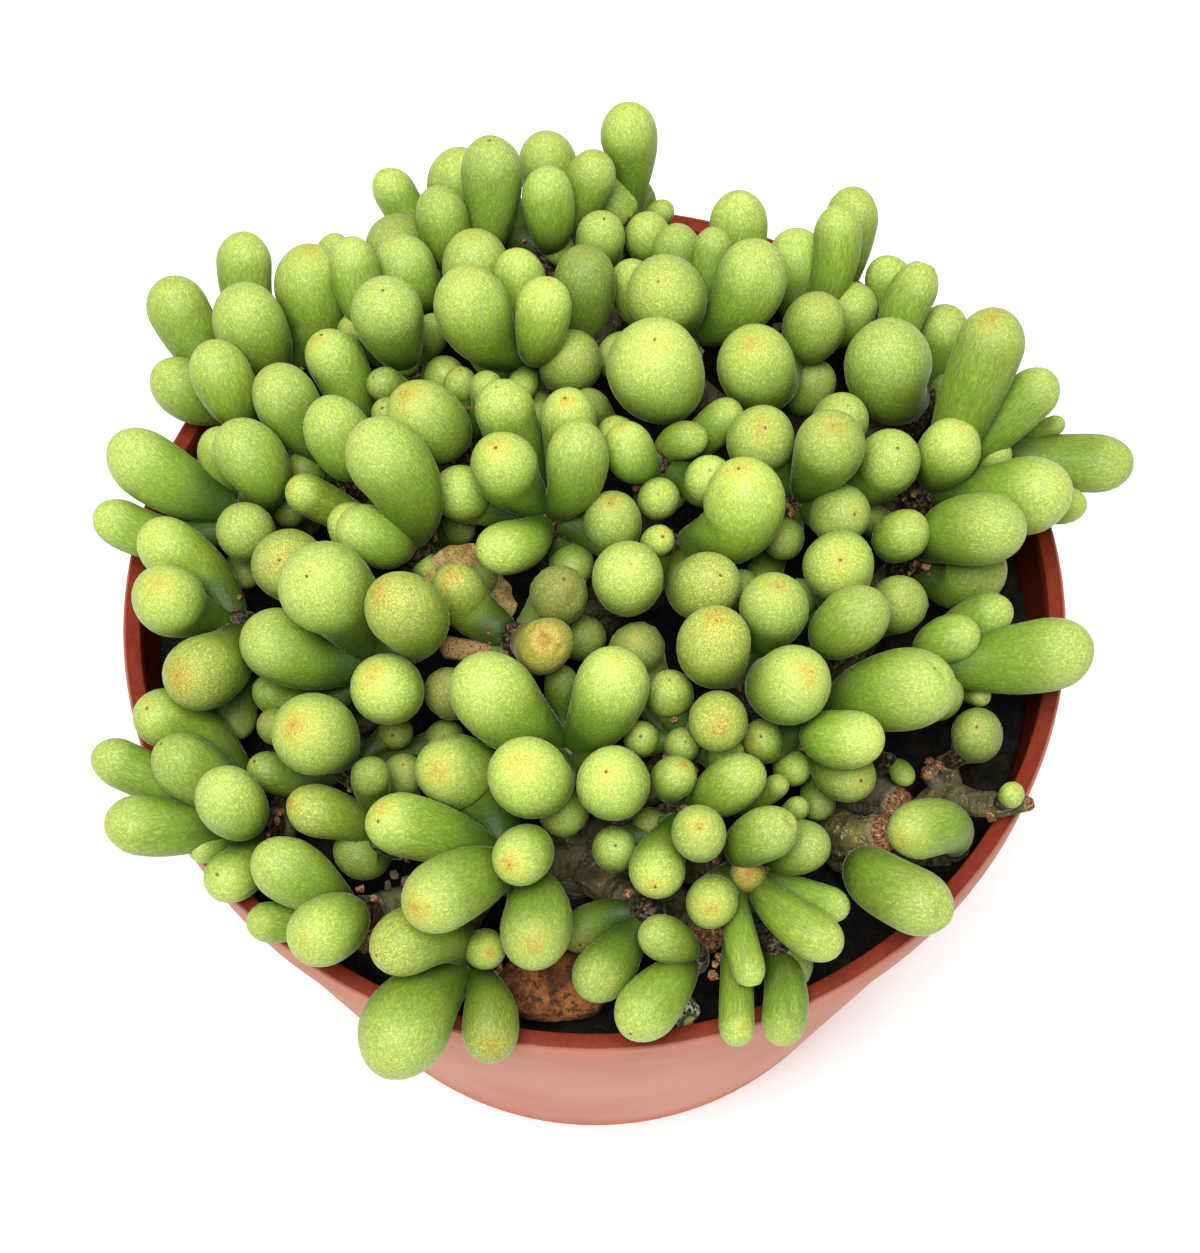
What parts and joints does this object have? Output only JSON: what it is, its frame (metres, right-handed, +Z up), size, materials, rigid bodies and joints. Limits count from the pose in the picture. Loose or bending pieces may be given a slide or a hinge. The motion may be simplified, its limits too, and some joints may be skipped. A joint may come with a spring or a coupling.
{
  "type": "potted dragon egg succulent",
  "caption": "Potted succulent: heads of plump egg-shaped green leaves on short knobbly stems, in a round tapered plastic nursery pot with a rolled lip, for a desk, shelf or windowsill.",
  "frame": {"origin": "middle of the pot's foot, on the surface it stands on", "axes": "+Z up along the pot's axis; +Y away from the viewer of the picture, +X to the viewer's right"},
  "size_m": [0.1315, 0.13, 0.1233],
  "materials": {
    "leaf_green": "waxy yellow-green leaf skin with a pale bloom",
    "dried_leaf": "dry, wrinkled, brown",
    "woody_stem": "rough grey-brown bark with leaf scars",
    "soil": "loose dark potting mix",
    "pot_plastic": "satin terracotta-coloured plastic",
    "rusty_stone": "rough rusty brown stone"
  },
  "bodies": {
    "root": {"dried_leaf_lower": "dried_leaf", "dried_leaf_upper": "dried_leaf", "leaf_head_01": "leaf_green", "leaf_head_02": "leaf_green", "leaf_head_03": "leaf_green", "leaf_head_04": "leaf_green", "leaf_head_05": "leaf_green", "leaf_head_06": "leaf_green", "leaf_head_07": "leaf_green", "leaf_head_08": "leaf_green", "leaf_head_09": "leaf_green", "leaf_head_10": "leaf_green", "leaf_head_11": "leaf_green", "leaf_head_12": "leaf_green", "leaf_head_13": "leaf_green", "leaf_head_14": "leaf_green", "leaf_head_15": "leaf_green", "leaf_head_16": "leaf_green", "leaf_head_17": "leaf_green", "leaf_head_18": "leaf_green", "leaf_head_19": "leaf_green", "leaf_head_20": "leaf_green", "leaf_head_21": "leaf_green", "leaf_head_22": "leaf_green", "leaf_head_23": "leaf_green", "leaf_head_24": "leaf_green", "leaf_head_25": "leaf_green", "leaf_head_26": "leaf_green", "leaf_head_27": "leaf_green", "leaf_head_28": "leaf_green", "leaf_head_29": "leaf_green", "leaf_head_30": "leaf_green", "leaf_head_31": "leaf_green", "leaf_head_32": "leaf_green", "leaf_head_33": "leaf_green", "leaf_head_34": "leaf_green", "leaf_head_35": "leaf_green", "leaf_head_36": "leaf_green", "leaf_head_37": "leaf_green", "leaf_head_38": "leaf_green", "leaf_head_39": "leaf_green", "leaf_head_40": "leaf_green", "leaf_head_41": "leaf_green", "leaf_head_42": "leaf_green", "leaf_head_43": "leaf_green", "leaf_head_44": "leaf_green", "leaf_head_45": "leaf_green", "leaf_head_46": "leaf_green", "pot": "pot_plastic", "soil": "soil", "stem_back": "woody_stem", "stem_back_left": "woody_stem", "stem_back_right": "woody_stem", "stem_front": "woody_stem", "stem_front_left": "woody_stem", "stem_front_right": "woody_stem", "stem_middle": "woody_stem", "stone": "rusty_stone"}
  },
  "joints": []
}
